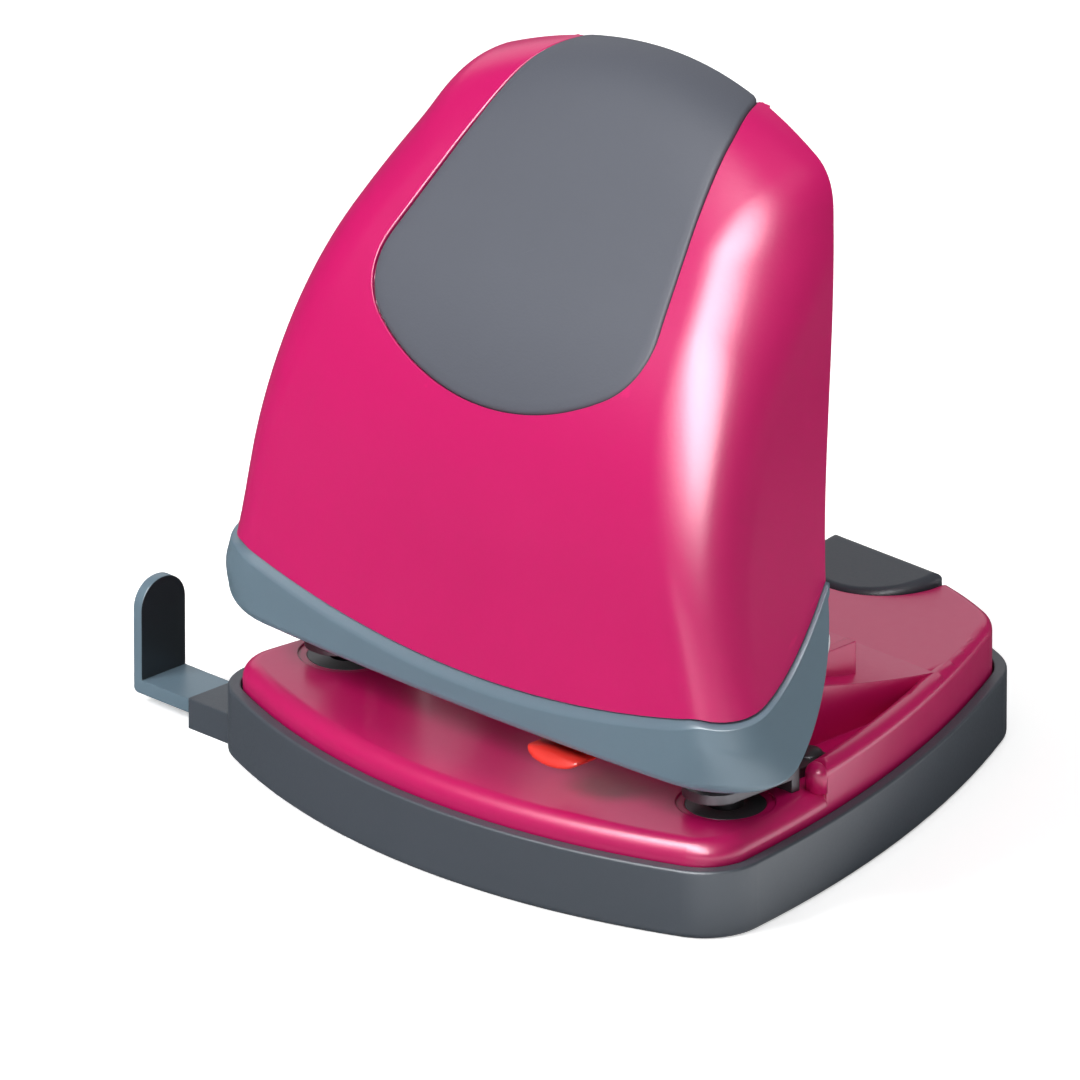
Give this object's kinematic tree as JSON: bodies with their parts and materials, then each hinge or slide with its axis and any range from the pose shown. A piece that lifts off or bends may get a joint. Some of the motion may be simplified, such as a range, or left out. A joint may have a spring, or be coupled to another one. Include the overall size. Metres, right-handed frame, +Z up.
{
  "type": "hole punch",
  "caption": "Desk hole punch with an open-backed lever hood over sprung punch pins, a pressed base plate, a clip-on chip tray and a sliding paper guide.",
  "frame": {"origin": "on the table, under the chip tray, midway between the two dies", "axes": "+X to the user's right, -Y to the front where the paper goes in, +Z up"},
  "size_m": [0.1326, 0.107, 0.1152],
  "materials": {
    "hood_plastic": "satin magenta",
    "base_paint": "gloss magenta paint",
    "grip_rubber": "matte, fine grain",
    "trim_plastic": "satin blue-grey",
    "tray_plastic": "matte dark grey",
    "lock_plastic": "bright red",
    "steel": "zinc-plated",
    "spring_steel": "drawn wire"
  },
  "bodies": {
    "tray": {"chip_tray": "tray_plastic"},
    "base": {"base_plate": "base_paint", "die_left": "steel", "die_right": "steel", "punch_bracket_left": "steel", "punch_bracket_right": "steel", "bracket_rivets": "steel", "pivot_pin": "steel", "pivot_clips": "steel", "return_spring_left": "spring_steel", "return_spring_right": "spring_steel"},
    "handle": {"handle_shell": "hood_plastic", "handle_grip": "grip_rubber", "handle_skirt": "trim_plastic", "handle_lever": "steel", "handle_screws": "steel"},
    "lock": {"lock_slider": "lock_plastic"},
    "punch_left": {"punch_pin_left": "steel", "pin_clip_left": "steel"},
    "punch_right": {"punch_pin_right": "steel", "pin_clip_right": "steel"},
    "guide": {"paper_guide": "trim_plastic"}
  },
  "joints": [
    {"name": "tray_hinge", "type": "hinge", "parent": "tray", "child": "base", "pos_m": [0, -0.02475, 0.0109], "axis": [1, 0, 0], "range_deg": [0, 50]},
    {"name": "handle_pivot", "type": "hinge", "parent": "base", "child": "handle", "pos_m": [0, 0.027, 0.0285], "axis": [1, 0, 0], "range_deg": [0, 6.7], "stiffness_Nm_per_rad": 5.4, "springref_deg": -5.73},
    {"name": "punch_left_slide", "type": "slide", "parent": "base", "child": "punch_left", "axis": [0, 0, -1], "range_m": [0, 0.0032], "deforming": ["return_spring_left"]},
    {"name": "punch_right_slide", "type": "slide", "parent": "base", "child": "punch_right", "axis": [0, 0, -1], "range_m": [0, 0.0032], "deforming": ["return_spring_right"]},
    {"name": "lock_slide", "type": "slide", "parent": "handle", "child": "lock", "axis": [1, 0, 0], "range_m": [0, 0.006]},
    {"name": "guide_slide", "type": "slide", "parent": "tray", "child": "guide", "axis": [-1, 0, 0], "range_m": [-0.0111, 0.078]}
  ],
  "couplings": [
    {"joint": "punch_left_slide", "follows": "handle_pivot", "m_per_rad": 0.0273},
    {"joint": "punch_right_slide", "follows": "handle_pivot", "m_per_rad": 0.0273}
  ]
}
